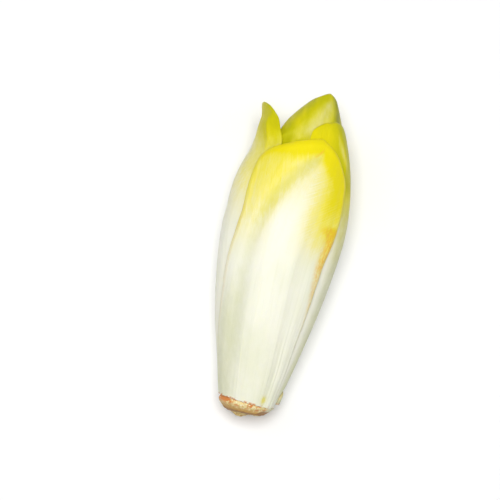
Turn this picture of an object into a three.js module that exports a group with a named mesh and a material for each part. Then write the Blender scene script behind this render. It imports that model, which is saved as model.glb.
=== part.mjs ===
// A head of Belgian endive (a chicon) lying on its side on a flat surface.
//
// The head's axis runs along +Y, from the cut base at the -Y end to the leaf tips at the +Y end.
// Each leaf is a curved shell laid round that axis. The leaves are placed from the outside in:
// the first lies on the head's outline, and every later one lies just inside those before it, so
// each leaf nests against its neighbours with a thin gap and none of them cross. The leaves grow
// from a tapering stem, whose lower end is the trimmed root face.
//
// A place on the head is given by its height along the axis, in millimetres above the cut face,
// and by its turn round the axis, in degrees: 0 is +X, 90 is straight up, 270 is the table.

import * as THREE from "three";

const DEG = Math.PI / 180;

// ---- Driving dimensions, in millimetres and degrees ----

// The head is a spindle: it swells evenly from the root to the belly, closes in one round sweep to
// the tip, and its centre line bends to +X on the way up.
const BELLY_RADIUS = 28.3;
const BELLY_HEIGHT = 85;
const FOOT_RADIUS = 12.4;
const FOOT_BEVEL = 2;
const FOOT_BEVEL_HEIGHT = 3.8;
const SWELL = 1.5;
const TIP_HEIGHT = 154;
const TIP_SWEEP = 2;
const TIP_BLUNTNESS = 0.95;
const CENTRE_START = -2.7;
const CENTRE_BEND = 11;
const BEND_LATENESS = 3.5;
// The leaves spring from a slanting line, higher on the -X side than on the +X side.
const BASE_SLANT = 1.3;
const SLANT_ENDS_AT = 30;
// Lying down, the head tips onto its belly, base end low, and is pressed a little flat there.
const REST_TILT = 7;
const REST_FLAT = 1.1;
const BELLY_END = 100;

const EDGE_THICKNESS = 0.8;
const RIB_THICKNESS = through([0, 2], [40, 3.3], [90, 2.4], [151, 1]);
const RIB_ROUNDNESS = 1.7;
const LEAF_GAP = through([0, 0.42], [150, 0.9]);
const INNER_LOOSENESS = 0.7;
// Beyond a leaf's edge, those inside it swell back to the outline over about this distance
// beside it, and over twice as far above its tip.
const OUTER_RELEASE = 5;
const INNER_RELEASE = 8;
const LEAN_START = 2;
const LEAN_RELEASE = 16;

const STEM_GAP = 0.5;
const STEM_AHEAD = through([5, 1.4], [15, 2]);
const STEM_TOP = 33;
const STEM_TIP_RADIUS = 1.5;
const STEM_TAPER = 0.42;
const HEART_BASE = 50;
const HEART_TOP = 124;
const HEART_RADIUS = 11.5;
const HEART_END_RADIUS = 1;
const HEART_FULLNESS = 0.7;
const ROOT_NUB = 1.4;

const INNER_LEAVES = 9;
const INNER_ROOT_TAPER = 12;
const GOLDEN_ANGLE = 137.5;

const OUTER_GRID = { across: 14, along: 16 };
const INNER_GRID = { across: 12, along: 12 };
const COLUMN_BUNCHING = 0.25;
const ROW_BUNCHING = 0.5;

const IVORY = 0xefe9cf;
const YELLOW = 0xe9dd62;
const STEM_CREAM = 0xe6d6a6;

// ---- Leaves, outermost first ----

// left is the side of greater turn and right that of lesser turn, each as the angle from the rib
// to the margin. leftRound and rightRound are how far below the tip each margin starts to close.
const outerLeaves = [
  {
    name: "trimmed_leaf_stub",
    base: 7,
    tip: 12,
    rib: through([0, -10]),
    left: through([0, 20]),
    right: through([0, 20]),
    leftRound: 2.6,
    rightRound: 2.6,
    point: 0.3,
    plump: 0.3,
    lift: 0.3,
    release: 3,
    colour: STEM_CREAM,
    grid: { across: 6, along: 3 },
  },
  {
    name: "front_leaf",
    base: 5,
    tip: 128.7,
    rib: through([0, 88], [82, 96], [123, 71]),
    left: through([0, 92], [60, 54], [88, 44], [120, 80]),
    right: through([0, 54], [70, 58], [88, 64], [122, 48]),
    leftRound: 14,
    rightRound: 22,
    point: 0.3,
    plump: 1,
    colour: IVORY,
    grid: OUTER_GRID,
  },
  {
    name: "underside_leaf",
    base: 5,
    tip: 128,
    rib: through([0, 288]),
    left: through([0, 58], [85, 56], [128, 44]),
    right: through([0, 62], [85, 60], [128, 46]),
    leftRound: 20,
    rightRound: 18,
    point: 0.3,
    plump: 1,
    colour: IVORY,
    grid: OUTER_GRID,
  },
  {
    name: "left_leaf",
    base: 5.2,
    tip: 141.5,
    rib: through([0, 178]),
    left: through([0, 60], [85, 56], [125, 34], [142, 24]),
    right: through([0, 60], [85, 57], [116, 53], [131, 37], [140, 37]),
    leftRound: 7,
    rightRound: 8,
    point: 0.04,
    plump: 0.9,
    lean: through([92, 0], [122, 5], [134, 10.3], [142, 18]),
    colour: IVORY,
    grid: { across: 14, along: 22 },
  },
  {
    name: "right_leaf",
    base: 5.2,
    tip: 138,
    rib: through([0, 20], [139, 30]),
    left: through([0, 58], [139, 62]),
    right: through([0, 58], [85, 58], [139, 46]),
    leftRound: 7.6,
    rightRound: 14,
    point: 0.1,
    plump: 0.95,
    colour: IVORY,
    grid: OUTER_GRID,
  },
  {
    name: "lower_leaf",
    base: 6.4,
    tip: 133,
    rib: through([0, 236], [133, 226]),
    left: through([0, 62], [85, 62], [133, 50]),
    right: through([0, 62], [85, 64], [133, 60]),
    leftRound: 14,
    rightRound: 14,
    point: 0.2,
    plump: 0.95,
    colour: IVORY,
    grid: OUTER_GRID,
  },
  {
    name: "crown_leaf",
    base: 7.5,
    tip: 150.7,
    rib: through([0, 62]),
    left: through([0, 64], [120, 84], [148, 135]),
    right: through([0, 62], [120, 80], [148, 130]),
    leftRound: 9,
    rightRound: 9,
    point: 0.06,
    plump: 0.9,
    colour: YELLOW,
    grid: OUTER_GRID,
  },
];

function innerLeaf(step) {
  const half = 74 + 3.5 * step;
  return {
    name: `inner_leaf_${String(step).padStart(2, "0")}`,
    base: 9 + 3.2 * step,
    tip: 151.9 - 2.2 * step - 0.38 * step * step,
    rib: through([0, (62 + GOLDEN_ANGLE * step) % 360]),
    left: through([0, 58], [70, half], [120, half + 24], [150, 150]),
    right: through([0, 58], [70, half], [120, half + 24], [150, 150]),
    leftRound: 13,
    rightRound: 13,
    point: 0.25,
    plump: 0.78 - 0.035 * step,
    rootTaper: INNER_ROOT_TAPER,
    looseness: INNER_LOOSENESS,
    release: INNER_RELEASE,
    colour: YELLOW,
    grid: INNER_GRID,
  };
}

const leaves = [...outerLeaves];
for (let step = 1; step <= INNER_LEAVES; step++) {
  leaves.push(innerLeaf(step));
}

// ---- Curves and small sums ----

// A smooth curve through [place, value] keys that never swings past them, level beyond its ends.
function through(...keys) {
  const last = keys.length - 1;
  const steps = [];
  for (let i = 0; i < last; i++) {
    steps.push((keys[i + 1][1] - keys[i][1]) / (keys[i + 1][0] - keys[i][0]));
  }
  const slopes = keys.map((key, i) => {
    if (i === 0 || i === last) {
      return steps[i === 0 ? 0 : last - 1] ?? 0;
    }
    const [before, after] = [steps[i - 1], steps[i]];
    return before * after > 0 ? (2 * before * after) / (before + after) : 0;
  });
  return (place) => {
    if (place <= keys[0][0]) {
      return keys[0][1];
    }
    if (place >= keys[last][0]) {
      return keys[last][1];
    }
    let i = 0;
    while (place > keys[i + 1][0]) {
      i += 1;
    }
    const span = keys[i + 1][0] - keys[i][0];
    const t = (place - keys[i][0]) / span;
    const rise = keys[i + 1][1] - keys[i][1];
    const bend = (1 - t) * slopes[i] * span - t * slopes[i + 1] * span + (2 * t - 1) * rise;
    return keys[i][1] + rise * t + t * (1 - t) * bend;
  };
}

function clamp(value, low, high) {
  return Math.min(high, Math.max(low, value));
}

function easeInOut(t) {
  const s = clamp(t, 0, 1);
  return s * s * (3 - 2 * s);
}

// An angle brought between -180 and 180.
function wrapped(angle) {
  return angle - 360 * Math.round(angle / 360);
}

function headRadius(height) {
  const below = clamp(1 - height / BELLY_HEIGHT, 0, 1);
  const above = clamp((height - BELLY_HEIGHT) / (TIP_HEIGHT - BELLY_HEIGHT), 0, 1);
  const bevel = FOOT_BEVEL * (1 - easeInOut(height / FOOT_BEVEL_HEIGHT));
  const body = BELLY_RADIUS - (BELLY_RADIUS - FOOT_RADIUS) * below ** SWELL - bevel;
  return body * (1 - above ** TIP_SWEEP) ** TIP_BLUNTNESS;
}

function headCentre(height) {
  return CENTRE_START + CENTRE_BEND * clamp(height / TIP_HEIGHT, 0, 1) ** BEND_LATENESS;
}

function slant(turn, height) {
  const fade = easeInOut(height / 3) * (1 - easeInOut(height / SLANT_ENDS_AT));
  return -BASE_SLANT * Math.cos(turn * DEG) * fade;
}

// ---- One leaf ----

function halfAngle(leaf, side, height) {
  return side > 0 ? leaf.left(height) : leaf.right(height);
}

// The height where a leaf ends, at a place across it that runs from -1 at the right margin to 1.
function outlineTop(leaf, across) {
  const a = Math.min(1, Math.abs(across));
  const round = across > 0 ? leaf.leftRound : leaf.rightRound;
  const fall = (1 - leaf.point) * (1 - Math.sqrt(1 - a * a)) + leaf.point * a;
  return leaf.tip - round * fall;
}

function thickness(leaf, across, height) {
  const rib = Math.max(EDGE_THICKNESS, RIB_THICKNESS(height) * leaf.plump);
  const profile = 1 - Math.min(1, Math.abs(across)) ** RIB_ROUNDNESS;
  const rooted = leaf.rootTaper ? easeInOut(0.1 + (height - leaf.base) / leaf.rootTaper) : 1;
  return EDGE_THICKNESS + (rib - EDGE_THICKNESS) * profile * rooted;
}

// Where a place lies against a leaf: how far across it, and how far outside its outline in mm.
function against(leaf, turn, height, radius) {
  const offset = wrapped(turn - leaf.rib(height));
  const half = halfAngle(leaf, offset, height);
  const across = clamp(offset / half, -1, 1);
  const beside = Math.max(0, Math.abs(offset) - half) * DEG * radius;
  const above = Math.max(0, height - outlineTop(leaf, across));
  return { across, beside, above };
}

// How far a leaf stands off the head, where it lies free of those before it.
function standOff(leaf, turn, height, radius) {
  if (!leaf.lean) {
    return leaf.lift ?? 0;
  }
  let free = Infinity;
  for (const cover of leaves.slice(0, leaves.indexOf(leaf))) {
    const { beside, above } = against(cover, turn, height, radius);
    free = Math.min(free, Math.hypot(beside, above));
  }
  return leaf.lean(height) * easeInOut((free - LEAN_START) / LEAN_RELEASE);
}

// How much room a leaf takes from the leaves that lie inside it.
function roomTaken(leaf, turn, height, radius) {
  const { across, beside, above } = against(leaf, turn, height, radius);
  const depth = thickness(leaf, across, Math.min(height, outlineTop(leaf, across)));
  const room = depth + LEAF_GAP(height) + (leaf.looseness ?? 0);
  const needed = Math.max(0, room - standOff(leaf, turn, height, radius));
  const release = leaf.release ?? OUTER_RELEASE;
  return needed * Math.exp(-((beside / release) ** 2) - (above / (2 * release)) ** 2);
}

// The outer radius of the leaf with this place in the list.
function outerRadius(index, turn, height) {
  let radius = headRadius(height);
  for (const cover of leaves.slice(0, index)) {
    radius -= roomTaken(cover, turn, height, radius);
  }
  return radius + standOff(leaves[index], turn, height, radius);
}

function pointAt(turn, height, radius) {
  const x = headCentre(height) + radius * Math.cos(turn * DEG);
  return [x, height, radius * Math.sin(turn * DEG)];
}

// The table, in the head's own upright frame: a plane tilted by REST_TILT that touches the
// belly, then moved in by REST_FLAT. Points below it are pressed up onto it.
function depthBelow(y, z) {
  return -z * Math.cos(REST_TILT * DEG) - y * Math.sin(REST_TILT * DEG);
}

let lowest = 0;
for (let height = 0; height < BELLY_END; height += 0.5) {
  lowest = Math.max(lowest, depthBelow(height, -headRadius(height)));
}
const TABLE_DEPTH = lowest - REST_FLAT;

function pressedOnTable([x, y, z]) {
  const press = Math.max(0, depthBelow(y, z) - TABLE_DEPTH);
  return [x, y + press * Math.sin(REST_TILT * DEG), z + press * Math.cos(REST_TILT * DEG)];
}

function leafPoint(index, across, along, inner) {
  const leaf = leaves[index];
  const startTurn = leaf.rib(leaf.base) + across * halfAngle(leaf, across, leaf.base);
  const start = leaf.base + slant(startTurn, leaf.base);
  const height = start + (outlineTop(leaf, across) - start) * along;
  const turn = leaf.rib(height) + across * halfAngle(leaf, across, height);
  const outer = outerRadius(index, turn, height);
  const radius = inner ? outer - thickness(leaf, across, height) : outer;
  const point = pointAt(turn, height, radius);
  return inner ? point : pressedOnTable(point);
}

// ---- Solids ----

function solid(positions, triangles) {
  const geometry = new THREE.BufferGeometry();
  geometry.setAttribute("position", new THREE.Float32BufferAttribute(positions, 3));
  geometry.setIndex(triangles);
  geometry.computeVertexNormals();
  return geometry;
}

function quad(triangles, a, b, c, d) {
  triangles.push(a, b, c, a, c, d);
}

// Even steps from 0 to 1, drawn together towards both ends by a share of their place.
function bunched(t, share) {
  return (1 - share) * t + (share / 2) * (1 - Math.cos(Math.PI * t));
}

// A leaf's outer and inner faces are the same grid, joined by a strip all round the margin.
function leafGeometry(index) {
  const { across: columns, along: rows } = leaves[index].grid;
  const positions = [];
  for (const inner of [false, true]) {
    for (let row = 0; row <= rows; row++) {
      for (let column = 0; column <= columns; column++) {
        const across = 2 * bunched(column / columns, COLUMN_BUNCHING) - 1;
        const along = bunched(row / rows, ROW_BUNCHING);
        positions.push(...leafPoint(index, across, along, inner));
      }
    }
  }
  const layer = (rows + 1) * (columns + 1);
  const outerAt = (row, column) => row * (columns + 1) + column;
  const innerAt = (row, column) => layer + outerAt(row, column);
  const triangles = [];
  for (let row = 0; row < rows; row++) {
    const up = row + 1;
    for (let column = 0; column < columns; column++) {
      const next = column + 1;
      quad(triangles, outerAt(row, column), outerAt(up, column), outerAt(up, next), outerAt(row, next));
      quad(triangles, innerAt(row, column), innerAt(row, next), innerAt(up, next), innerAt(up, column));
    }
    quad(triangles, outerAt(row, 0), innerAt(row, 0), innerAt(up, 0), outerAt(up, 0));
    const end = columns;
    quad(triangles, innerAt(row, end), outerAt(row, end), outerAt(up, end), innerAt(up, end));
  }
  for (let column = 0; column < columns; column++) {
    const next = column + 1;
    const top = rows;
    quad(triangles, innerAt(0, column), outerAt(0, column), outerAt(0, next), innerAt(0, next));
    quad(triangles, outerAt(top, column), innerAt(top, column), innerAt(top, next), outerAt(top, next));
  }
  return solid(positions, triangles);
}

// The stem and the heart bud fill what the leaves leave free. The stem steps in just below the
// place where each leaf springs.
function coreRadius(turn, height) {
  let radius = headRadius(height);
  for (const leaf of leaves) {
    const start = leaf.base + slant(turn, leaf.base);
    if (height > start - STEM_AHEAD(leaf.base)) {
      radius -= roomTaken(leaf, turn, height, radius);
    }
  }
  return radius;
}

// A solid of rings round the axis, closed at each end by a point on the axis. A crowding above 1
// draws the rings together towards the lower end.
function coreGeometry({ from, to, sides, rows, crowding, radiusAt, nubBelow, nubAbove }) {
  const positions = [...pointAt(0, from - nubBelow, 0)];
  for (let row = 0; row <= rows; row++) {
    const level = from + (to - from) * (row / rows) ** crowding;
    for (let side = 0; side < sides; side++) {
      const turn = (360 * side) / sides;
      const height = level + slant(turn, level);
      positions.push(...pointAt(turn, height, radiusAt(turn, height)));
    }
  }
  positions.push(...pointAt(0, to + nubAbove, 0));
  const tip = 1 + (rows + 1) * sides;
  const at = (row, side) => 1 + row * sides + (side % sides);
  const triangles = [];
  for (let side = 0; side < sides; side++) {
    triangles.push(0, at(0, side), at(0, side + 1));
    for (let row = 0; row < rows; row++) {
      quad(triangles, at(row, side), at(row + 1, side), at(row + 1, side + 1), at(row, side + 1));
    }
    triangles.push(tip, at(rows, side + 1), at(rows, side));
  }
  return solid(positions, triangles);
}

const stem = {
  from: 0,
  to: STEM_TOP,
  sides: 26,
  rows: 24,
  crowding: 1.5,
  radiusAt: (turn, height) => {
    const clear = coreRadius(turn, height) - STEM_GAP * easeInOut(height - 1);
    return Math.min(clear, STEM_TIP_RADIUS + STEM_TAPER * (STEM_TOP - height));
  },
  nubBelow: ROOT_NUB,
  nubAbove: 1,
};

const heartBud = {
  from: HEART_BASE,
  to: HEART_TOP,
  sides: 18,
  rows: 16,
  crowding: 1,
  radiusAt: (turn, height) => {
    const along = (height - HEART_BASE) / (HEART_TOP - HEART_BASE);
    const bulge = HEART_END_RADIUS + HEART_RADIUS * Math.sin(Math.PI * along) ** HEART_FULLNESS;
    return Math.min(coreRadius(turn, height) - STEM_GAP, bulge);
  },
  nubBelow: 0.5,
  nubAbove: 1.5,
};

// ---- The whole head ----

function piece(name, geometry, colour, roughness) {
  const material = new THREE.MeshStandardMaterial({ color: colour, roughness, metalness: 0 });
  const mesh = new THREE.Mesh(geometry, material);
  mesh.name = name;
  return mesh;
}

const head = new THREE.Group();
leaves.forEach((leaf, index) => {
  head.add(piece(leaf.name, leafGeometry(index), leaf.colour, 0.45));
});
head.add(piece("heart_bud", coreGeometry(heartBud), YELLOW, 0.5));
head.add(piece("stem", coreGeometry(stem), STEM_CREAM, 0.6));

head.rotation.x = REST_TILT * DEG;
const box = new THREE.Box3().setFromObject(head, true);
const middle = box.getCenter(new THREE.Vector3());
head.position.set(-middle.x, -middle.y, -box.min.z);

export default head;
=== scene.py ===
"""A head of Belgian endive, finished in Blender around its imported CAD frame.

Each leaf is built again as a fine closed shell by the same rule as its CAD solid: the leaves are
laid round the head's axis from the outside in, each just inside those before it. The fine shells
add the ribs, the veins, the thin margins and the small waves that the solids leave out.

A place on the head is a height along its axis in millimetres above the cut root, and a turn
round the axis in degrees: 0 is +X, 90 is up from the table, 270 is the table.
"""
import math

import bpy
import numpy as np
from mathutils import Matrix, Vector


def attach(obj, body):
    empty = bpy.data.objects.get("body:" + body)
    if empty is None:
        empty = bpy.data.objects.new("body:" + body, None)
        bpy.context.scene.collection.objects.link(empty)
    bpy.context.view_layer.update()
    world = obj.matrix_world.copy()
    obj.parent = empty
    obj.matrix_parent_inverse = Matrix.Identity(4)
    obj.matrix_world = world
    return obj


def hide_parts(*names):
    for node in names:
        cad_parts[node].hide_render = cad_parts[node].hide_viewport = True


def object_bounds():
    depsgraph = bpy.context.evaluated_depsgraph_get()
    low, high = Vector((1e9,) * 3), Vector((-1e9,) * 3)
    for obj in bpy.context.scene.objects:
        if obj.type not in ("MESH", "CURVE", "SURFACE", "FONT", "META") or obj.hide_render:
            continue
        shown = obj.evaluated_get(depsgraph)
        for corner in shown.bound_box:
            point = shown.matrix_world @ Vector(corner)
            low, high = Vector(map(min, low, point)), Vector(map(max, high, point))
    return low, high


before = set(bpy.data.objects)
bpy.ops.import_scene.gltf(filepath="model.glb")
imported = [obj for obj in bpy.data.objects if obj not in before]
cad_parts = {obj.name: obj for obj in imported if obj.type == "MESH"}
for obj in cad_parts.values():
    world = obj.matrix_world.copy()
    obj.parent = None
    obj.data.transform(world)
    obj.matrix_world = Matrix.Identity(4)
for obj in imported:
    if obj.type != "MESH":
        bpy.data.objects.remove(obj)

CAD_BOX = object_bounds()
MM = 0.001


# ---- Curves and small sums ----

def through(*keys):
    """A smooth curve through (place, value) keys that never swings past them, level beyond its ends."""
    x = np.array([key[0] for key in keys], float)
    y = np.array([key[1] for key in keys], float)
    if len(keys) == 1:
        return lambda place: np.full(np.shape(place), y[0])
    steps = np.diff(y) / np.diff(x)
    slopes = np.empty(len(x))
    slopes[0] = steps[0]
    slopes[-1] = steps[-1]
    for i in range(1, len(x) - 1):
        before, after = steps[i - 1], steps[i]
        slopes[i] = 2 * before * after / (before + after) if before * after > 0 else 0

    def curve(place):
        place = np.clip(place, x[0], x[-1])
        i = np.clip(np.searchsorted(x, place, side="left") - 1, 0, len(x) - 2)
        span = x[i + 1] - x[i]
        t = (place - x[i]) / span
        rise = y[i + 1] - y[i]
        bend = (1 - t) * slopes[i] * span - t * slopes[i + 1] * span + (2 * t - 1) * rise
        return y[i] + rise * t + t * (1 - t) * bend

    return curve


def ease(t):
    """0 below 0, 1 above 1, smooth between."""
    s = np.clip(t, 0, 1)
    return s * s * (3 - 2 * s)


def ramp(value, zero, one):
    """0 where the value is at zero, 1 where it is at one, smooth between. Either may be the greater."""
    return ease((value - zero) / (one - zero))


def bump(distance, width):
    """1 at no distance, falling to nothing past about twice the width."""
    return np.exp(-((distance / width) ** 2))


def wrapped(angle):
    """An angle brought between -180 and 180."""
    return angle - 360 * np.round(angle / 360)


def lattice(ix, iy, iz, seed):
    """A fixed random number from -1 to 1 at each point of a whole-number lattice."""
    n = (ix * 374761393 + iy * 668265263 + iz * 2147483647 + seed * 1274126177) & 0xFFFFFFFF
    n = ((n ^ (n >> 13)) * 1274126177) & 0xFFFFFFFF
    n = n ^ (n >> 16)
    return (n & 0xFFFF) / 32767.5 - 1


def waves(x, y, z, seed):
    """Smooth random waves from -1 to 1, about one crest to each unit of x, y and z."""
    x, y, z = np.broadcast_arrays(x, y, z)
    floor = [np.floor(c).astype(np.int64) for c in (x, y, z)]
    part = [ease(c - f) for c, f in zip((x, y, z), floor)]
    total = 0
    for dx in (0, 1):
        for dy in (0, 1):
            for dz in (0, 1):
                weight = 1
                for step, p in zip((dx, dy, dz), part):
                    weight = weight * (p if step else 1 - p)
                value = lattice(floor[0] + dx, floor[1] + dy, floor[2] + dz, seed)
                total = total + weight * value
    return total


# ---- The head's form, in millimetres and degrees, as in the CAD ----

BELLY_RADIUS = 28.3
BELLY_HEIGHT = 85
FOOT_RADIUS = 12.4
FOOT_BEVEL = 2
FOOT_BEVEL_HEIGHT = 3.8
SWELL = 1.5
TIP_HEIGHT = 154
TIP_SWEEP = 2
TIP_BLUNTNESS = 0.95
CENTRE_START = -2.7
CENTRE_BEND = 11
BEND_LATENESS = 3.5
BASE_SLANT = 1.3
SLANT_STARTS_BY = 3
SLANT_ENDS_AT = 30
REST_TILT = math.radians(7)
REST_FLAT = 1.1
BELLY_END = 100

EDGE_THICKNESS = 0.8
RIB_THICKNESS = through((0, 2), (40, 3.3), (90, 2.4), (151, 1))
RIB_ROUNDNESS = 1.7
LEAF_GAP = through((0, 0.42), (150, 0.9))
INNER_LOOSENESS = 0.7
OUTER_RELEASE = 5
INNER_RELEASE = 8
LEAN_START = 2
LEAN_RELEASE = 16

STEM_GAP = 0.5
STEM_TOP = 33
STEM_TIP_RADIUS = 1.5
STEM_TAPER = 0.42
HEART_BASE = 50
HEART_TOP = 124
HEART_RADIUS = 11.5
HEART_END_RADIUS = 1
HEART_FULLNESS = 0.7
ROOT_NUB = 1.4
INNER_LEAVES = 9
INNER_ROOT_TAPER = 12
GOLDEN_ANGLE = 137.5

# Parts of the fine head that are finer than the CAD.
STEM_AHEAD = 0.12
GAP_FILLED = 0.55
MARGIN_ROLL = 1.6
MARGIN_THINNEST = 0.25
LEFT_VEIN_SLOPE = 2
RIGHT_VEIN_SLOPE = 0.7


class Leaf:
    """One leaf. Left is its side of greater turn. Both sides are angles from the rib to the margin.

    base and tip are heights, rounds say how far each side's margin falls below the tip, point makes the
    top pointed (1) or round (0), and plump scales the rib's thickness.
    """

    def __init__(self, name, base, tip, rib, left, right, rounds, point, plump, paint, **more):
        self.name = name
        self.base = base
        self.tip = tip
        self.rib = through(*rib)
        self.left = through(*left)
        self.right = through(*right)
        self.left_round, self.right_round = rounds
        self.point = point
        self.plump = plump
        self.paint = paint
        self.lean = through(*more["lean"]) if "lean" in more else None
        self.lift = more.get("lift", 0)
        self.root_taper = more.get("root_taper")
        self.looseness = more.get("looseness", 0)
        self.release = more.get("release", OUTER_RELEASE)
        self.slot = more.get("slot", "outer_leaf")
        self.grid = more.get("grid", (90, 160))
        self.relief = more.get("relief", plain_relief)
        self.feather = more.get("feather", 0.3)
        self.gap_filled = more.get("gap_filled", GAP_FILLED)
        self.seed = sum(ord(letter) for letter in name)

    def half_angle(self, side, height):
        return np.where(side > 0, self.left(height), self.right(height))

    def outline_top(self, across):
        """The height where the leaf ends, for a place across it from -1 at the right margin to 1."""
        a = np.minimum(1, np.abs(across))
        rounding = np.where(across > 0, self.left_round, self.right_round)
        fall = (1 - self.point) * (1 - np.sqrt(1 - a * a)) + self.point * a
        return self.tip - rounding * fall

    def thickness(self, across, height):
        rib = np.maximum(EDGE_THICKNESS, RIB_THICKNESS(height) * self.plump)
        profile = 1 - np.minimum(1, np.abs(across)) ** RIB_ROUNDNESS
        if self.root_taper:
            profile = profile * ease(0.1 + (height - self.base) / self.root_taper)
        return EDGE_THICKNESS + (rib - EDGE_THICKNESS) * profile

    def against(self, turn, height, radius):
        """Where a place lies against the leaf: how far across, and how far beside and above it in mm."""
        offset = wrapped(turn - self.rib(height))
        half = self.half_angle(offset, height)
        across = np.clip(offset / half, -1, 1)
        beside = np.radians(np.maximum(0, np.abs(offset) - half)) * radius
        above = np.maximum(0, height - self.outline_top(across))
        return across, beside, above

    def room_taken(self, turn, height, radius):
        """How much room the leaf takes from the leaves that lie inside it."""
        across, beside, above = self.against(turn, height, radius)
        depth = self.thickness(across, np.minimum(height, self.outline_top(across)))
        room = depth + LEAF_GAP(height) + self.looseness
        needed = np.maximum(0, room - self.stand_off(turn, height, radius))
        return needed * bump(beside, self.release) * bump(above, 2 * self.release)

    def stand_off(self, turn, height, radius):
        """How far the leaf stands off the head, where it lies free of those before it."""
        if self.lean is None:
            return self.lift
        free = np.full(np.shape(height), np.inf)
        for cover in LEAVES[: LEAVES.index(self)]:
            _, beside, above = cover.against(turn, height, radius)
            free = np.minimum(free, np.hypot(beside, above))
        return self.lean(height) * ease((free - LEAN_START) / LEAN_RELEASE)


def head_radius(height):
    """A spindle that swells evenly to the belly and closes in one round sweep to the tip."""
    below = np.clip(1 - height / BELLY_HEIGHT, 0, 1)
    above = np.clip((height - BELLY_HEIGHT) / (TIP_HEIGHT - BELLY_HEIGHT), 0, 1)
    bevel = FOOT_BEVEL * (1 - ramp(height, 0, FOOT_BEVEL_HEIGHT))
    body = BELLY_RADIUS - (BELLY_RADIUS - FOOT_RADIUS) * below ** SWELL - bevel
    return body * (1 - above ** TIP_SWEEP) ** TIP_BLUNTNESS


def head_centre(height):
    return CENTRE_START + CENTRE_BEND * np.clip(height / TIP_HEIGHT, 0, 1) ** BEND_LATENESS


def slant(turn, height):
    """How much higher the leaves start at this turn, because the root is cut a little aslant."""
    fade = ramp(height, 0, SLANT_STARTS_BY) * (1 - ramp(height, 0, SLANT_ENDS_AT))
    return -BASE_SLANT * np.cos(np.radians(turn)) * fade


def outer_radius(index, turn, height):
    """The radius of the outer face of the leaf with this place in the list."""
    radius = head_radius(height)
    for cover in LEAVES[:index]:
        radius = radius - cover.room_taken(turn, height, radius)
    return radius + LEAVES[index].stand_off(turn, height, radius)


def core_radius(turn, height):
    """How far the leaves leave the head's middle free."""
    radius = head_radius(height)
    for leaf in LEAVES:
        start = leaf.base + slant(turn, leaf.base)
        present = height > start - STEM_AHEAD
        radius = radius - np.where(present, leaf.room_taken(turn, height, radius), 0)
    return radius


def point_at(turn, height, radius):
    x = head_centre(height) + radius * np.cos(np.radians(turn))
    z = radius * np.sin(np.radians(turn))
    return np.stack(np.broadcast_arrays(x, height, z), axis=-1)


def depth_below(points):
    return -points[..., 2] * math.cos(REST_TILT) - points[..., 1] * math.sin(REST_TILT)


def table_depth():
    heights = np.arange(0, BELLY_END, 0.5)
    belly = np.stack([0 * heights, heights, -head_radius(heights)], axis=-1)
    return depth_below(belly).max() - REST_FLAT


TABLE_DEPTH = table_depth()


def pressed_on_table(points):
    """Points below the table pressed straight up onto it, so that the belly is flat there."""
    press = np.maximum(0, depth_below(points) - TABLE_DEPTH)
    up = np.array([0, math.sin(REST_TILT), math.cos(REST_TILT)])
    return points + press[..., None] * up


# ---- Colour of a leaf ----
# Yellow and green each rise from 0 to 1, and rust is 0 but at browned edges. Green also carries painted
# shade: down the front leaf's hollow, low on its left flank, and towards the silhouettes of the right and
# crown leaves. Ramps run over heights in mm or over the place across the leaf, from -1 at its right
# margin to 1 at its left one.

EDGE_WIDTH = 1.6
EDGE_YELLOW = 0.12
EDGE_GREEN = 0.15
# The front leaf's small scar below its tip, its brown right margin's top, and the spot at its foot.
SCAR_HEIGHT = 121.6
SCAR_LENGTH = 2
SCAR_WIDTH = 0.5
RUST_TOP = 91
SPOT_HEIGHT = 7.5
SPOT_ACROSS = -0.5


def tip_paint(start, full, yellow, green_start, green, rib_pale=0.5):
    """Yellow, then olive, that deepen towards the tip and the margins and are paler over the rib."""

    def paint(place):
        height = place.height
        rib = bump(place.across_mm, 2 + 0.09 * np.maximum(0, place.leaf.tip - height))
        edge = bump(place.margin, EDGE_WIDTH)
        rise = ramp(height, start, full)
        lush = ramp(height, green_start, place.leaf.tip)
        yellows = yellow * rise * (1 - rib_pale * rib) + EDGE_YELLOW * edge * rise
        greens = green * lush * (1 - rib_pale * rib) + EDGE_GREEN * edge * rise
        return yellows, greens, 0 * height

    return paint


def layered(*washes):
    """Washes of colour laid over each other, each hiding a share of what is below it."""
    bare = 1
    for wash in washes:
        bare = bare * (1 - np.clip(wash, 0, 1))
    return 1 - bare


def hollow_place(height):
    """Where across the front leaf its long hollow runs: beside the rib, then over it near the top."""
    return 0.5 - 0.56 * np.clip((height - 74) / 48, 0, 1) ** 2


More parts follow.
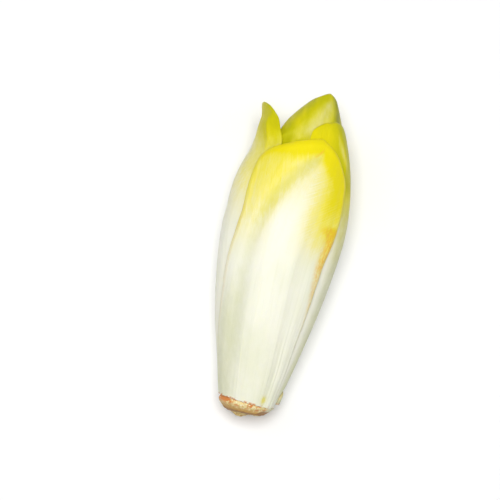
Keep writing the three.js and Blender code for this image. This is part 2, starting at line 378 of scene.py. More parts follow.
def front_paint(place):
    """Ivory over the rib, a lemon wash above, a full yellow crest and right shoulder, rusty edges;
    painted shade greens the hollow and the low left flank.
    """
    height, across, margin = place.height, place.across, place.margin
    wash = 0.3 * ramp(height, 88, 120)
    # Along the hollow near the top the crest is kept paler, so that the hollow's painted shade shows
    # there.
    fold = bump(across - hollow_place(height), 0.1) * ramp(height, 124, 119)
    crest = 0.95 * ramp(height + 7 * ramp(across, 0, -0.5), 114, 124) * (1 - 0.55 * fold)
    left_side = 0.5 * ramp(height, 64, 114) * ramp(across, 0, 0.5)
    right_shoulder = 0.85 * ramp(height, 66, 102) * ramp(across, -0.12, -0.72)
    left_rim = np.where(across > 0, 0.3 * bump(margin, 2.6) * ramp(height, 50, 100), 0)
    yellows = layered(wash, crest, left_side, right_shoulder) + left_rim

    # Painted shade: green-grey down the long hollow beside the rib, stronger higher up.
    valley_shade = (0.13 + 0.12 * ramp(height, 80, 100)) * bump(across - hollow_place(height), 0.15)
    valley_shade = valley_shade * ramp(height, 0, 60) * ramp(height, 124, 116)
    # Painted shade: green-grey low on the left flank, towards the root.
    low_flank_shade = 0.22 * ramp(across, 0.3, 0.75) * ramp(height, 75, 15)
    greens = valley_shade + low_flank_shade + 0.05 * ramp(height, 76, 26) + 0.08 * bump(margin, 0.9)
    foot_spot = bump(height - SPOT_HEIGHT, 1.9) * bump(across - SPOT_ACROSS, 0.09)
    yellows = yellows + 0.5 * foot_spot
    greens = greens + 0.1 * foot_spot

    right_wide = 1.5 + 3.6 * ramp(height, 40, 78) + 3.8 * ramp(height, 80, 89)
    right_rust = ramp(height, 30, 82) * ramp(height, RUST_TOP, RUST_TOP - 3)
    right_rust = right_rust * ease(1.5 - margin / right_wide)
    yellows = yellows + np.where(across < 0, 0.3 * right_rust, 0)
    left_lines = bump(margin - 0.3, 0.5) + 0.6 * bump(margin - 2, 0.45)
    left_rust = 0.5 * left_lines * ramp(height, 24, 59) * ramp(height, 99, 91)
    scar_at = 0.1 - 0.6 * (height - SCAR_HEIGHT)
    scar = 0.9 * bump(height - SCAR_HEIGHT, SCAR_LENGTH) * bump(place.across_mm - scar_at, SCAR_WIDTH)
    return yellows, greens, np.maximum(np.where(across > 0, left_rust, right_rust), scar)


def left_paint(place):
    """Ivory with a yellow-green right side that turns olive at the tip."""
    height = place.height
    inward = ramp(place.across, 0.55, -0.65)
    side = 0.6 * ramp(height, 76, 128) * inward
    behind = ramp(place.across, 0.05, 0.65)
    streaks = waves(place.across_mm / 3, height / 26, 5, 13)
    tip = ramp(height + 4 * streaks, 121 - 14 * behind, 138)
    greens = 0.6 * ramp(height, 100, 140) * np.maximum(inward, 0.5 * behind)
    return layered(side, tip), greens + 0.15 * bump(place.margin, 1) * tip, 0 * height


def right_paint(place):
    """Ivory below; full yellow beside the front leaf, a short pale streak, then olive outside; painted
    shade greens it towards its silhouette.
    """
    height, across = place.height, place.across
    rise = ramp(height, 92, 114)
    outside = ramp(across, 0.5, -0.05)
    streak = bump(across - 0.02 * (height - 125), 0.1) * bump(height - 124, 9)
    low_side = 0.2 * ramp(across, 0.2, -0.1) * ramp(height, 60, 95)
    # Painted shade: green-grey towards the leaf's outer silhouette, all the way up from near the root.
    silhouette_shade = 0.38 * ramp(across, 0.15, -0.1) * ramp(height, 0, 12)
    yellows = layered(rise, low_side) * (1 - 0.5 * streak)
    greens = np.maximum(rise * (0.24 + 0.44 * outside), silhouette_shade) + 0.2 * ramp(height, 130, 138)
    return yellows, greens * (1 - 0.6 * streak), 0 * height


def crown_paint(place):
    """Mottled yellow-green olive, with a pale streak that curves down from the tip, and painted shade
    that deepens the olive towards both silhouettes.
    """
    height, across = place.height, place.across
    mottle = 0.7 * waves(place.across_mm / 5, height / 8, 1, 11)
    mottle = mottle + 0.6 * waves(place.across_mm / 2.2, height / 4, 3, 12)
    below_tip = place.leaf.tip - height
    streak_at = 0.018 * below_tip ** 2
    streak = bump(place.across_mm - streak_at, (1.5 + 0.4 * below_tip) * (1 + 0.3 * mottle))
    streak = streak * ramp(below_tip, 0, 6) * ramp(below_tip, 30, 18)
    rise = ramp(height, 84, 114)
    # Painted shade: rim and far add deeper olive towards the left and right silhouettes.
    rim = ramp(across, 0.5, 0.9)
    far = ramp(across, -0.05, -0.4)
    yellows = rise * (1 + 0.15 * mottle) * (1 - 0.68 * streak)
    greens = rise * (0.53 + 0.26 * mottle + 0.3 * rim + 0.35 * far) + 0.2 * ramp(height, 140, 148)
    return yellows, greens * (1 - 0.2 * streak), 0 * height


# ---- Relief of a leaf's outer face, in millimetres ----

def plain_relief(place):
    """Low parallel ribs that run the leaf's length and die out towards its tip."""
    low = 1 - ramp(place.along, 0.5, 0.9)
    ribs = waves(place.across * 8, place.height * 0.012, 0, place.leaf.seed)
    fine = waves(place.across * 22, place.height * 0.02, 5, place.leaf.seed)
    broad = waves(place.across_mm / 12, place.height / 28, 4, place.leaf.seed)
    return 0.17 * ribs * (0.3 + 0.7 * low) + 0.06 * fine + 0.16 * broad


def front_relief(place):
    """A broad rounded rib between long hollows, edge ridges near the root, and a raised lip."""
    height, across = place.height, place.across
    hollow_wide = 0.12 + 0.1 * ramp(height, 0, 100)
    hollow_deep = 1.25 * ramp(height, -10, 60) * ramp(height, 128, 88)
    hollow = hollow_deep * bump(across - hollow_place(height), hollow_wide)
    hollow = hollow + 0.4 * bump(across + 0.58, 0.14) * ramp(height, 100, 60)
    root = 1 - ramp(height, 18, 58)
    ridges = 0.26 * bump(across - 0.3, 0.018) + 0.2 * bump(across - 0.36, 0.02)
    ridges = ridges + 0.17 * bump(across + 0.42, 0.02) + 0.16 * bump(across + 0.63, 0.022)
    lip = 0.3 * bump(place.margin - 2.4, 1.5) * ramp(height, 60, 85)
    return plain_relief(place) - hollow + ridges * root + lip


# ---- Leaves, outermost first ----

OUTER_LEAVES = [
    Leaf(
        "trimmed_leaf_stub", 7, 12, [(0, -10)], [(0, 20)], [(0, 20)], (2.6, 2.6), 0.3, 0.3,
        tip_paint(0, 14, 0.1, 0, 0.1, 0), lift=0.3, release=1.2,
        gap_filled=2.2, slot="stem", grid=(40, 24),
    ),
    Leaf(
        "front_leaf", 5, 128.7,
        [(0, 88), (82, 96), (123, 71)], [(0, 92), (60, 54), (88, 44), (120, 80)],
        [(0, 54), (70, 58), (88, 64), (122, 48)],
        (14, 22), 0.3, 1, front_paint, relief=front_relief, feather=1, grid=(130, 230),
    ),
    Leaf(
        "underside_leaf", 5, 128, [(0, 288)],
        [(0, 58), (85, 56), (128, 44)], [(0, 62), (85, 60), (128, 46)],
        (20, 18), 0.3, 1, tip_paint(84, 120, 0.8, 100, 0.5),
    ),
    Leaf(
        "left_leaf", 5.2, 141.5, [(0, 178)],
        [(0, 60), (85, 56), (125, 34), (142, 24)],
        [(0, 60), (85, 57), (116, 53), (131, 37), (140, 37)],
        (7, 8), 0.04, 0.9, left_paint,
        lean=[(92, 0), (122, 5), (134, 10.3), (142, 18)],
        grid=(100, 200),
    ),
    Leaf(
        "right_leaf", 5.2, 138, [(0, 20), (139, 30)],
        [(0, 58), (139, 62)], [(0, 58), (85, 58), (139, 46)],
        (7.6, 14), 0.1, 0.95, right_paint, grid=(100, 180),
    ),
    Leaf(
        "lower_leaf", 6.4, 133, [(0, 236), (133, 226)],
        [(0, 62), (85, 62), (133, 50)], [(0, 62), (85, 64), (133, 60)],
        (14, 14), 0.2, 0.95, tip_paint(88, 124, 0.85, 104, 0.55),
    ),
    Leaf(
        "crown_leaf", 7.5, 150.7, [(0, 62)],
        [(0, 64), (120, 84), (148, 135)],
        [(0, 62), (120, 80), (148, 130)],
        (9, 9), 0.06, 0.9, crown_paint, slot="crown_leaf", grid=(110, 180),
    ),
]


def inner_leaf(step):
    half = 74 + 3.5 * step
    side = [(0, 58), (70, half), (120, half + 24), (150, 150)]
    tip = 151.9 - 2.2 * step - 0.38 * step * step
    return Leaf(
        f"inner_leaf_{step:02d}", 9 + 3.2 * step, tip,
        [(0, (62 + GOLDEN_ANGLE * step) % 360)], side, side, (13, 13), 0.25,
        0.78 - 0.035 * step, tip_paint(tip - 60, tip - 12, 0.95, tip - 35, 0.45),
        root_taper=INNER_ROOT_TAPER, looseness=INNER_LOOSENESS, release=INNER_RELEASE,
        slot="inner_leaf", grid=(56, 90),
    )


LEAVES = OUTER_LEAVES + [inner_leaf(step) for step in range(1, INNER_LEAVES + 1)]


# ---- Leaf meshes ----

class Place:
    """Where every point of a leaf's grid lies: heights, turns and distances, as arrays."""

    def __init__(self, index):
        leaf = LEAVES[index]
        columns, rows = leaf.grid
        even = np.linspace(-1, 1, columns + 1)
        across = 0.55 * even + 0.45 * np.sin(even * math.pi / 2)
        t = np.linspace(0, 1, rows + 1)
        along = 0.6 * t + 0.2 * (1 - np.cos(math.pi * t))
        self.leaf = leaf
        self.across, self.along = np.meshgrid(across, along)
        start_turn = leaf.rib(leaf.base) + self.across * leaf.half_angle(self.across, leaf.base)
        start = leaf.base + slant(start_turn, leaf.base)
        nick = waves(self.across * 5, 0, 0, leaf.seed) * 0.2
        nick = nick + waves(self.across * 17, 0, 3, leaf.seed) * 0.06
        top = leaf.outline_top(self.across) + nick * ramp(np.abs(self.across), 1, 0.9)
        self.height = start + (top - start) * self.along
        side = np.where(self.across > 0, 1.0, -1.0)
        wander = waves(self.height / 17, side * 3, 0, leaf.seed + 1) * 0.5
        wander = wander + waves(self.height / 5, side * 3, 7, leaf.seed + 1) * 0.12
        half = leaf.half_angle(self.across, self.height)
        half = half + np.degrees(wander / head_radius(self.height)) * ramp(self.height, 0, 30)
        self.turn = leaf.rib(self.height) + self.across * half
        self.radius = outer_radius(index, self.turn, self.height)
        self.across_mm = np.radians(self.across * half) * self.radius
        beside = np.radians((1 - np.abs(self.across)) * half) * self.radius
        above = top - self.height
        self.margin = beside * above / np.maximum(np.hypot(beside, above), 1e-6)
        self.from_base = self.height - start
        to_right = ramp(self.across, 0.15, -0.15)
        steep = LEFT_VEIN_SLOPE + (RIGHT_VEIN_SLOPE - LEFT_VEIN_SLOPE) * to_right
        self.side_vein = (self.height - steep * np.abs(self.across_mm)) / np.hypot(1, steep)


def leaf_arrays(index):
    """The outer and inner faces of a leaf, and the place of each of their points."""
    leaf = LEAVES[index]
    place = Place(index)
    depth = leaf.thickness(place.across, place.height) + leaf.gap_filled * LEAF_GAP(place.height)
    relief = np.maximum(leaf.relief(place), 0.4 - depth) * ramp(place.margin, 0, 3)
    roll = 1 - np.clip(place.margin / MARGIN_ROLL, 0, 1)
    thinning = (depth - MARGIN_THINNEST) * (1 - np.sqrt(1 - roll * roll))
    curl = ramp(place.along, 0.75, 1) * 0.25
    sway = curl * waves(place.across_mm / 9, place.height / 12, 2, leaf.seed)
    outer = place.radius + sway + relief - 0.7 * thinning
    inner = place.radius + sway - depth + 0.3 * thinning
    outer_points = pressed_on_table(point_at(place.turn, place.height, outer))
    inner_points = point_at(place.turn, place.height, inner)
    return place, outer_points, inner_points


def grid_faces(rows, columns, start, flip):
    """Quads of a grid of points that is rows by columns of faces, numbered from start."""
    row, column = np.meshgrid(np.arange(rows), np.arange(columns), indexing="ij")
    a = start + row * (columns + 1) + column
    b = a + columns + 1
    order = (a, a + 1, b + 1, b) if flip else (a, b, b + 1, a + 1)
    return np.stack([q.ravel() for q in order], axis=-1)


def strip_faces(outer_loop, inner_loop):
    """Quads that join two closed loops of points."""
    next_outer = np.roll(outer_loop, -1)
    next_inner = np.roll(inner_loop, -1)
    return np.stack([outer_loop, inner_loop, next_inner, next_outer], axis=-1)


def border_loop(rows, columns):
    """The border points of a grid in order: up the left side, over the top and down the right."""
    width = columns + 1
    up = np.arange(rows) * width
    over = rows * width + np.arange(columns)
    down = np.arange(rows, 0, -1) * width + columns
    back = np.arange(columns, 0, -1)
    return np.concatenate([up, over, down, back])


def tilted(points):
    """Points in the head's own frame, in mm, tipped onto the belly, in metres."""
    c, s = math.cos(REST_TILT), math.sin(REST_TILT)
    x, y, z = points[:, 0], points[:, 1], points[:, 2]
    return np.stack([x, y * c - z * s, y * s + z * c], axis=-1) * MM


def head_shift():
    """Where the tipped head lies in the row, by the root's lowest point in both."""
    root = min((vertex.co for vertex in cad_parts["stem"].data.vertices), key=lambda co: co.y)
    return np.array(root) - tilted(point_at(0, np.array([-ROOT_NUB]), 0))[0]


HEAD_SHIFT = head_shift()


def head_to_row(points):
    """Points in the head's own frame, in mm, as metres in the row frame."""
    return tilted(points) + HEAD_SHIFT


def make_mesh(name, points, faces, attributes):
    mesh = bpy.data.meshes.new(name)
    mesh.vertices.add(len(points))
    mesh.vertices.foreach_set("co", points.astype(np.float32).ravel())
    corners = np.concatenate([group.ravel() for group in faces])
    sizes = np.concatenate([np.full(len(group), group.shape[1]) for group in faces])
    starts = np.concatenate([[0], np.cumsum(sizes)[:-1]])
    mesh.loops.add(len(corners))
    mesh.loops.foreach_set("vertex_index", corners.astype(np.int32))
    mesh.polygons.add(len(sizes))
    mesh.polygons.foreach_set("loop_start", starts.astype(np.int32))
    mesh.polygons.foreach_set("use_smooth", np.ones(len(sizes), bool))
    for key, values in attributes.items():
        layer = mesh.attributes.new(key, "FLOAT", "POINT")
        layer.data.foreach_set("value", values.astype(np.float32).ravel())
    mesh.update()
    mesh.validate()
    piece = bpy.data.objects.new(name, mesh)
    bpy.context.scene.collection.objects.link(piece)
    return piece


def finish_piece(piece, node, material):
    piece.data.materials.append(material)
    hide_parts(node)
    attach(piece, "root")


def leaf_piece(index, material):
    leaf = LEAVES[index]
    place, outer, inner = leaf_arrays(index)
    columns, rows = leaf.grid
    count = (rows + 1) * (columns + 1)
    border = border_loop(rows, columns)
    faces = [
        grid_faces(rows, columns, 0, False),
        grid_faces(rows, columns, count, True),
        strip_faces(border, border + count),
    ]
    yellow, green, rust = leaf.paint(place)
    both_faces = {
        "yellow": yellow,
        "green": green,
        "rust": rust,
        "across": place.across,
        "across_mm": place.across_mm,
        "height": place.height,
        "margin": place.margin,
        "from_base": place.from_base,
        "side_vein": place.side_vein,
        "upper": leaf.feather * ramp(place.height / leaf.tip, 0.5, 0.75),
    }
    attributes = {key: np.stack([value, value]) for key, value in both_faces.items()}
    points = head_to_row(np.concatenate([outer.reshape(-1, 3), inner.reshape(-1, 3)]))
    piece = make_mesh(leaf.name + "_fine", points, faces, attributes)
    finish_piece(piece, leaf.name, material)


# ---- Stem and heart bud ----

FACE_RINGS = 26
FACE_MIDDLE = 0.03
FACE_RADIUS = 9.5
FACE_DOME = 0.55
BEVEL_RINGS = 40
BEVEL_RINGS_END = 5.6
WALL_RINGS = 110
WALL_SPREAD = 1.2
STEM_SIDES = 200
STEM_CAP = 1
LEAF_FOOT = 4.88
RIM_DEPTH = 0.9
RIM_HEIGHT = 1.1
PARED_DEPTH = 1.5
PARED_WIDTH = 38
PARED_TOP = 5.5
HEART_SIDES = 72
HEART_RINGS = 90
HEART_LEAST_RADIUS = 0.5
HEART_CAPS = (0.5, 1.5)


def stem_radius(turn, height):
    """The stem fills the middle that the leaves leave free; its foot is rough and pared at the right."""
    clear = core_radius(turn, height) - STEM_GAP * ramp(height, LEAF_FOOT, LEAF_FOOT + 1.5)
    limit = STEM_TIP_RADIUS + STEM_TAPER * (STEM_TOP - height)
    rough = 0.22 * waves(np.radians(turn) * 5, height * 0.7, 1, 3)
    rough = rough + 0.1 * waves(np.radians(turn) * 15, height * 1.6, 1, 8)
    up_rim = np.clip(height / RIM_HEIGHT, 0, 1)
    rim = RIM_DEPTH * (1 - np.sqrt(up_rim * (2 - up_rim)))
    pared = PARED_DEPTH * bump(wrapped(turn), PARED_WIDTH) * ramp(height, PARED_TOP, PARED_TOP - 3)
    free = np.minimum(clear, limit) - pared
    return free + rough * ramp(height, LEAF_FOOT + 0.4, LEAF_FOOT - 0.8) - rim


def cut_face(turn, share):
    """The cut root's face: how far below the rim's plane it stands, from middle (0) to rim (1)."""
    x = share * FACE_RADIUS * np.cos(np.radians(turn))
    z = share * FACE_RADIUS * np.sin(np.radians(turn))
    dome = FACE_DOME * (1 - share ** 2)
    lump = 1.9 * bump(np.hypot((x + 3.4) / 1.5, z - 3.4), 2.4) + 0.8 * bump(np.hypot(x - 4.6, z - 4), 1.9)
    rough = 0.3 * waves(x / 1.7, z / 1.7, 0, 5) + 0.12 * waves(x / 0.6, z / 0.6, 2, 6)
    return dome + (lump + rough) * ramp(share, 1, 0.88)


def ring_faces(rows, sides, start):
    """Quads between rings of points, the first ring's points numbered from start."""
    row, side = np.meshgrid(np.arange(rows), np.arange(sides), indexing="ij")
    a = start + row * sides + side
    b = start + row * sides + (side + 1) % sides
    return np.stack([q.ravel() for q in (a, a + sides, b + sides, b)], axis=-1)


def capped_rings(points, middle_below, middle_above):
    """All points and faces of a closed solid of rings, from the lowest ring to the highest."""
    rows, sides = points.shape[0] - 1, points.shape[1]
    ring = 2 + np.arange(sides)
    after = 2 + (np.arange(sides) + 1) % sides
    top = rows * sides
    below = np.stack([0 * ring, ring, after], axis=-1)
    above = np.stack([0 * ring + 1, after + top, ring + top], axis=-1)
    every = np.concatenate([middle_below[None], middle_above[None], points.reshape(-1, 3)])
    return every, [ring_faces(rows, sides, 2), below, above]


def stem_piece(material):
    turns = np.arange(STEM_SIDES) * 360 / STEM_SIDES
    share = np.linspace(FACE_MIDDLE, 1, FACE_RINGS)[:-1]
    turn, part = np.meshgrid(turns, share)
    rim = stem_radius(turn, 0 * turn)
    face = point_at(turn, -cut_face(turn, part), rim * part)
    low = np.linspace(0, BEVEL_RINGS_END, BEVEL_RINGS)
    high = np.linspace(0, 1, WALL_RINGS + 1)[1:] ** WALL_SPREAD
    high = BEVEL_RINGS_END + (STEM_TOP - BEVEL_RINGS_END) * high
    turn_wall, level = np.meshgrid(turns, np.concatenate([low, high]))
    height = level + slant(turn_wall, level)
    wall = point_at(turn_wall, height, stem_radius(turn_wall, height))
    middle = point_at(0, -cut_face(0, np.zeros(1)), 0)[0]
    tip = point_at(0, np.array([STEM_TOP + STEM_CAP]), 0)[0]
    points, faces = capped_rings(np.concatenate([face, wall]), middle, tip)
    levels = np.concatenate([[0, STEM_TOP], np.zeros(face.size // 3), level.ravel()])
    shares = np.concatenate([[0, 1], part.ravel(), np.ones(level.size)])
    angles = 90 + wrapped(np.concatenate([[0, 0], turn.ravel(), turn_wall.ravel()]) - 90)
    attributes = {"level": levels, "share": shares, "turn": angles}
    piece = make_mesh("stem_fine", head_to_row(points), faces, attributes)
    finish_piece(piece, "stem", material)


def heart_piece(material):
    turns = np.arange(HEART_SIDES) * 360 / HEART_SIDES
    turn, height = np.meshgrid(turns, np.linspace(HEART_BASE, HEART_TOP, HEART_RINGS))
    along = np.clip((height - HEART_BASE) / (HEART_TOP - HEART_BASE), 0, 1)
    bulge = HEART_END_RADIUS + HEART_RADIUS * np.sin(math.pi * along) ** HEART_FULLNESS
    folds = 0.3 * waves(np.radians(turn) * 3, height / 14, 0, 21)
    radius = np.minimum(core_radius(turn, height) - STEM_GAP, bulge) + folds - 0.3
    points = point_at(turn, height, np.maximum(radius, HEART_LEAST_RADIUS))
    below = point_at(0, np.array([HEART_BASE - HEART_CAPS[0]]), 0)[0]
    above = point_at(0, np.array([HEART_TOP + HEART_CAPS[1]]), 0)[0]
    every, faces = capped_rings(points, below, above)
    heights = every[:, 1]
    yellow = ramp(heights, 85, 115)
    none = 0 * heights
    attributes = {
        "yellow": yellow, "green": 0.3 * yellow, "rust": none, "across": none,
        "across_mm": none, "height": heights, "margin": none + 9, "from_base": none + 20,
        "side_vein": heights, "upper": none,
    }
    piece = make_mesh("heart_bud_fine", head_to_row(every), faces, attributes)
    finish_piece(piece, "heart_bud", material)


# ---- Materials ----

class Nodes:
    """A material's node tree, with short calls for the nodes that the materials here use."""

    def __init__(self, name):
        self.material = bpy.data.materials.new(name)
        self.material.use_nodes = True
        self.tree = self.material.node_tree
        self.shader = self.tree.nodes["Principled BSDF"]

    def new(self, kind, **settings):
        node = self.tree.nodes.new(kind)
        for key, value in settings.items():
            setattr(node, key, value)
        return node

    def link(self, source, target):
        self.tree.links.new(source, target)

    def feed(self, socket, value):
        if isinstance(value, bpy.types.NodeSocket):
            self.link(value, socket)
        else:
            socket.default_value = value

    def attribute(self, name):
        return self.new("ShaderNodeAttribute", attribute_name=name).outputs["Fac"]

    def math(self, operation, a, b=0.0, clamp=False):
        node = self.new("ShaderNodeMath", operation=operation, use_clamp=clamp)
        self.feed(node.inputs[0], a)
        self.feed(node.inputs[1], b)
        return node.outputs[0]

    def times(self, a, b):
        return self.math("MULTIPLY", a, b)

    def plus(self, a, b):
        return self.math("ADD", a, b)

    def less(self, a, b):
        return self.math("SUBTRACT", a, b)

    def stray(self, cloud, amount):
        """A noise brought round 0 and scaled."""
        return self.times(self.less(cloud, 0.5), amount)

    def vector(self, x, y, z):
        node = self.new("ShaderNodeCombineXYZ")
        for socket, value in zip(node.inputs, (x, y, z)):
            self.feed(socket, value)
        return node.outputs[0]

    def stretched(self, x, y, z):
        """The piece's own coordinates in mm, multiplied along each axis."""
        place = self.new("ShaderNodeTexCoord").outputs["Object"]
        node = self.new("ShaderNodeVectorMath", operation="MULTIPLY")
        self.link(place, node.inputs[0])
        node.inputs[1].default_value = (x / MM, y / MM, z / MM)
        return node.outputs[0]

    def noise(self, vector, detail=3.0, roughness=0.5):
        """Cloudy noise from 0 to 1 that is mostly near its middle."""
        node = self.new("ShaderNodeTexNoise")
        self.link(vector, node.inputs["Vector"])
        node.inputs["Scale"].default_value = 1.0
        node.inputs["Detail"].default_value = detail
        node.inputs["Roughness"].default_value = roughness
        return node.outputs["Fac"]

    def remap(self, value, low, high, new_low=0.0, new_high=1.0):
        node = self.new("ShaderNodeMapRange", interpolation_type="SMOOTHSTEP")
        self.feed(node.inputs["Value"], value)
        node.inputs["From Min"].default_value = low
        node.inputs["From Max"].default_value = high
        node.inputs["To Min"].default_value = new_low
        node.inputs["To Max"].default_value = new_high
        return node.outputs["Result"]

    def ramp(self, value, stops):
        node = self.new("ShaderNodeValToRGB")
        elements = node.color_ramp.elements
        while len(elements) < len(stops):
            elements.new(0.5)
        for element, (place, colour) in zip(elements, stops):
            element.position = place
            element.color = (*colour, 1)
        self.link(value, node.inputs["Fac"])
        return node.outputs["Color"]

    def mix(self, amount, a, b):
        node = self.new("ShaderNodeMix", data_type="RGBA")
        self.feed(node.inputs["Factor"], amount)
        for socket, value in ((node.inputs[6], a), (node.inputs[7], b)):
            self.feed(socket, value if isinstance(value, bpy.types.NodeSocket) else (*value, 1))
        return node.outputs[2]

    def bump(self, height, strength, distance, normal=None):
        node = self.new("ShaderNodeBump")
        node.inputs["Strength"].default_value = strength
        node.inputs["Distance"].default_value = distance * MM
        self.link(height, node.inputs["Height"])
        if normal is not None:
            self.link(normal, node.inputs["Normal"])
        return node.outputs["Normal"]


IVORY = (0.91, 0.905, 0.765)
GREEN_IVORY = (0.74, 0.76, 0.53)
CREAM_WHITE = (1.0, 0.98, 0.86)
BUTTER = (0.87, 0.80, 0.32)
LEMON = (0.89, 0.79, 0.12)
FULL_YELLOW = (0.85, 0.73, 0.006)
OLIVE = (0.53, 0.51, 0.003)
SHADE_GREEN = (0.48, 0.50, 0.18)
DEEP_OLIVE = (0.32, 0.32, 0.008)
RUST = (0.86, 0.47, 0.05)
EDGE_BROWN = (0.55, 0.27, 0.06)
STEM_CREAM = (0.77, 0.60, 0.24)
STEM_STRAW = (0.86, 0.73, 0.38)
STEM_TAN = (0.60, 0.33, 0.065)
SCAR_ORANGE = (0.68, 0.20, 0.02)
SCAR_BROWN = (0.34, 0.15, 0.045)
STUB_GREY = (0.50, 0.54, 0.36)
STUB_CUT = (0.60, 0.36, 0.24)
TABLE_GREY = (0.95, 0.95, 0.95)
TABLE_WHITE = (0.97, 0.97, 0.965)


def leaf_material(name, foot=None):
    """Waxy leaf: ivory, then yellow and olive where painted, with veins and browned edges."""
    n = Nodes(name)
    across, height = n.attribute("across"), n.attribute("height")
    margin, from_base = n.attribute("margin"), n.attribute("from_base")
    upper = n.attribute("upper")
    veins = n.noise(n.vector(n.times(across, 20.0), n.times(height, 0.028), 0.0), 4.0, 0.55)
    fibres = n.noise(n.vector(n.times(across, 85.0), n.times(height, 0.08), 3.0), 3.0, 0.6)
    side = n.times(n.attribute("across_mm"), 0.06)
    feather = n.noise(n.vector(n.times(n.attribute("side_vein"), 1.5), side, 1.0), 3.0, 0.6)
    strands = n.plus(n.times(veins, n.less(1.0, upper)), n.times(feather, upper))
    broad = n.noise(n.stretched(0.05, 0.025, 0.05), 2.0)
    mottle = n.noise(n.stretched(0.5, 0.25, 0.5), 4.0, 0.6)

    yellow = n.attribute("yellow")
    stray = n.plus(n.stray(mottle, 0.35), n.stray(strands, 0.6))
    present = n.remap(yellow, 0.02, 0.3)
    unsettled = n.times(present, n.remap(yellow, 1.1, 0.6, 0.35, 1.0))
    yellow = n.plus(yellow, n.times(stray, unsettled))
    tint = n.ramp(yellow, [(0.0, IVORY), (0.3, BUTTER), (0.6, LEMON), (0.85, FULL_YELLOW)])
    greening = n.times(n.remap(broad, 0.42, 0.68), n.less(1.0, present))
    tint = n.mix(n.times(greening, 0.35), tint, GREEN_IVORY)
    green = n.plus(n.attribute("green"), n.stray(mottle, 0.22))
    green = n.times(green, n.remap(n.attribute("green"), 0.0, 0.1))
    greened = n.math("MULTIPLY", green, 1.35, clamp=True)
    tint = n.mix(greened, tint, n.mix(present, SHADE_GREEN, OLIVE))
    tint = n.mix(n.remap(green, 0.75, 1.15), tint, DEEP_OLIVE)
    plainness = n.remap(n.plus(yellow, green), 0.2, 1.0, 1.0, 0.08)
    tint = n.mix(n.times(n.times(n.remap(strands, 0.52, 0.66), 0.14), plainness), tint, GREEN_IVORY)
    tint = n.mix(n.times(n.times(n.remap(fibres, 0.5, 0.72), 0.16), plainness), tint, CREAM_WHITE)

    stipple = n.noise(n.stretched(1.5, 0.28, 1.5), 4.0, 0.65)
    rust = n.times(n.attribute("rust"), n.remap(stipple, 0.38, 0.58, 0.2, 1.0))
    tint = n.mix(n.times(rust, 0.85), tint, RUST)
    worn = n.noise(n.stretched(0.12, 0.12, 0.12), 2.0)
    browned = n.times(n.remap(margin, 0.6, 0.1), n.remap(worn, 0.46, 0.6))
    browned = n.times(browned, n.remap(height, 108.0, 98.0))
    tint = n.mix(n.times(browned, 0.4), tint, EDGE_BROWN)
    blots = n.noise(n.stretched(0.62, 0.7, 0.62), 2.0)
    scarred = n.times(n.remap(from_base, 1.1, 0.2), n.remap(blots, 0.5, 0.62))
    tint = n.mix(n.times(scarred, 0.85), tint, SCAR_ORANGE)
    if foot:
        tint = n.mix(n.remap(from_base, 3.2, 0.2, 0.75, 0.1), STUB_GREY, tint)
        tint = n.mix(n.times(n.remap(from_base, 1.4, 0.2), 0.7), tint, foot)

    n.link(tint, n.shader.inputs["Base Color"])
    n.shader.inputs["Subsurface Weight"].default_value = 0.2
    n.shader.inputs["Subsurface Radius"].default_value = (1.0, 0.9, 0.4)
    n.shader.inputs["Subsurface Scale"].default_value = 1.4 * MM
    n.shader.inputs["Specular IOR Level"].default_value = 0.2
    n.shader.inputs["IOR"].default_value = 1.36
    n.shader.inputs["Coat Weight"].default_value = 0.02
    n.shader.inputs["Coat Roughness"].default_value = 0.28
    n.link(n.remap(mottle, 0.2, 0.8, 0.36, 0.5), n.shader.inputs["Roughness"])
    relief = n.plus(n.times(strands, 0.75), n.times(fibres, 0.25))
    normal = n.bump(relief, 0.4, 0.4)
    grain = n.noise(n.stretched(3, 1.4, 3), 2.0)
    n.link(n.bump(grain, 0.1, 0.08, normal), n.shader.inputs["Normal"])
    return n.material


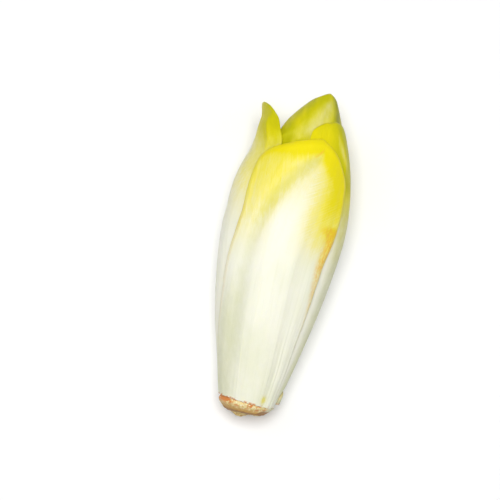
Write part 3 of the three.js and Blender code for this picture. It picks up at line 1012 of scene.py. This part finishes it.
def stem_material():
    """Cut root: orange scars under the leaves, a flecked bevel, a golden-brown cut and ringed face.

    level is the height above the cut in mm, share runs from the face's middle (0) to its rim (1), and
    turn goes from -90 to 270 degrees, so that its two ends meet underneath.
    """
    n = Nodes("endive_stem")
    level, share, turn = n.attribute("level"), n.attribute("share"), n.attribute("turn")
    cells = n.noise(n.stretched(0.9, 0.7, 0.9), 4.0, 0.6)
    blots = n.noise(n.stretched(0.5, 0.6, 0.5), 3.0, 0.6)
    flecks = n.noise(n.stretched(1.3, 1.3, 1.3), 3.0, 0.7)
    tint = n.mix(n.remap(cells, 0.35, 0.7), STEM_CREAM, STEM_STRAW)
    tint = n.mix(n.times(n.remap(flecks, 0.55, 0.66), 0.65), tint, CREAM_WHITE)
    lower = n.plus(level, n.stray(cells, 3.0))
    tint = n.mix(n.times(n.remap(lower, 3.0, 1.2), 0.9), tint, STEM_TAN)
    right_side = n.times(n.remap(turn, 56.0, 38.0), n.remap(turn, -32.0, -8.0))
    leafy = n.times(right_side, n.remap(level, 2.4, 3.6))
    tint = n.mix(n.times(leafy, 0.75), tint, GREEN_IVORY)
    upper = n.remap(level, 1.6, 3.4)
    left_corner = n.times(n.remap(turn, 118.0, 150.0), n.remap(turn, 215.0, 190.0))
    spread = n.plus(blots, n.times(n.times(left_corner, upper), 0.2))
    scars = n.times(n.remap(spread, 0.5, 0.57), upper)
    scars = n.times(scars, n.less(1.0, leafy))
    tint = n.mix(n.times(scars, 0.9), tint, SCAR_ORANGE)
    right_corner = n.times(n.remap(turn, 2.0, 16.0), n.remap(turn, 66.0, 50.0))
    worn = n.plus(level, n.stray(blots, 1.6))
    dark = n.remap(n.less(worn, n.times(right_corner, 2.4)), 1.3, 0.3)
    tint = n.mix(n.times(dark, 0.85), tint, SCAR_BROWN)

    rings = n.math("SINE", n.plus(n.times(share, 26.0), n.times(cells, 5.0)))
    face = n.mix(n.remap(rings, -0.6, 0.9, 0.0, 0.55), STEM_CREAM, STEM_TAN)
    spots = n.noise(n.stretched(0.8, 0.1, 0.8), 2.0)
    face = n.mix(n.times(n.remap(spots, 0.56, 0.64), 0.7), face, SCAR_BROWN)
    face = n.mix(n.remap(share, 0.78, 0.97, 0.0, 0.85), face, SCAR_BROWN)
    tint = n.mix(n.remap(share, 0.985, 0.96), tint, face)

    n.link(tint, n.shader.inputs["Base Color"])
    n.shader.inputs["Subsurface Weight"].default_value = 0.1
    n.shader.inputs["Subsurface Radius"].default_value = (1.0, 0.7, 0.3)
    n.shader.inputs["Subsurface Scale"].default_value = 1.0 * MM
    n.link(n.remap(cells, 0.2, 0.8, 0.5, 0.75), n.shader.inputs["Roughness"])
    n.link(n.bump(cells, 0.6, 0.5), n.shader.inputs["Normal"])
    return n.material


def floor_material():
    n = Nodes("pale_table")
    grain = n.noise(n.stretched(0.02, 0.02, 0.02), 3.0)
    n.link(n.mix(grain, TABLE_GREY, TABLE_WHITE), n.shader.inputs["Base Color"])
    n.shader.inputs["Roughness"].default_value = 0.7
    n.shader.inputs["Specular IOR Level"].default_value = 0.2
    return n.material


# ---- Build ----

MATERIALS = {
    "outer_leaf": leaf_material("endive_outer_leaf"),
    "crown_leaf": leaf_material("endive_crown_leaf"),
    "inner_leaf": leaf_material("endive_inner_leaf"),
    "stem": leaf_material("endive_trimmed_stub", foot=STUB_CUT),
}
for number, each in enumerate(LEAVES):
    leaf_piece(number, MATERIALS[each.slot])
stem_piece(stem_material())
heart_piece(MATERIALS["inner_leaf"])


# ---- Table, light and camera ----

CAMERA_ELEVATION = 83
CAMERA_ROLL = 10.7
CAMERA_LENS = 120
AIM_OFFSET = (-0.0133, -0.0016, 0.0014)
SENSOR = 36
VIEW_WIDTH = 0.229
TABLE_HALF_WIDTH = 3.0
WORLD_STRENGTH = 0.14
LAMPS_LOOK_AT = (0, 0, 0.03)
# Each lamp's name, place, width in metres and power in watts.
LAMPS = (
    ("key", (-0.05, 0.0, 1.2), 0.55, 11.4),
    ("fill_left", (-0.6, 0.2, 0.9), 0.8, 1.8),
    ("fill_right", (0.6, 0.0, 0.7), 0.6, 1),
)


def table_top():
    mesh = bpy.data.meshes.new("table_top")
    half = TABLE_HALF_WIDTH
    corners = [(-half, -half, 0), (half, -half, 0), (half, half, 0), (-half, half, 0)]
    mesh.from_pydata(corners, [], [(0, 1, 2, 3)])
    floor = bpy.data.objects.new("table_top", mesh)
    bpy.context.scene.collection.objects.link(floor)
    mesh.materials.append(floor_material())


def area_light(name, place, size, power):
    lamp = bpy.data.lights.new(name, "AREA")
    lamp.shape = "DISK"
    lamp.size = size
    lamp.energy = power
    light = bpy.data.objects.new(name, lamp)
    light.location = place
    light.rotation_mode = "QUATERNION"
    light.rotation_quaternion = (Vector(LAMPS_LOOK_AT) - Vector(place)).to_track_quat("-Z", "Y")
    bpy.context.scene.collection.objects.link(light)


def soft_world():
    world = bpy.data.worlds.new("studio")
    world.use_nodes = True
    background = world.node_tree.nodes["Background"]
    background.inputs["Color"].default_value = (1, 1, 1, 1)
    background.inputs["Strength"].default_value = WORLD_STRENGTH
    bpy.context.scene.world = world


def camera():
    """Looks down on the head, square to its axis, rolled so that it leans to the right."""
    data = bpy.data.cameras.new("camera")
    data.lens = CAMERA_LENS
    data.sensor_width = SENSOR
    data.clip_start = 0.05
    data.clip_end = 20
    eye = bpy.data.objects.new("camera", data)
    tilt = math.radians(CAMERA_ELEVATION)
    back = Vector((0, -math.cos(tilt), math.sin(tilt)))
    middle = (Vector(CAD_BOX[0]) + Vector(CAD_BOX[1])) / 2
    aim = middle + Vector(AIM_OFFSET)
    place = aim + back * (VIEW_WIDTH * CAMERA_LENS / SENSOR)
    look = (-back).to_track_quat("-Z", "Y").to_matrix().to_4x4()
    roll = Matrix.Rotation(math.radians(CAMERA_ROLL), 4, "Z")
    eye.matrix_world = Matrix.Translation(place) @ look @ roll
    bpy.context.scene.collection.objects.link(eye)
    bpy.context.scene.camera = eye


table_top()
soft_world()
for lamp in LAMPS:
    area_light(*lamp)
camera()
bpy.context.scene.view_settings.view_transform = "Standard"
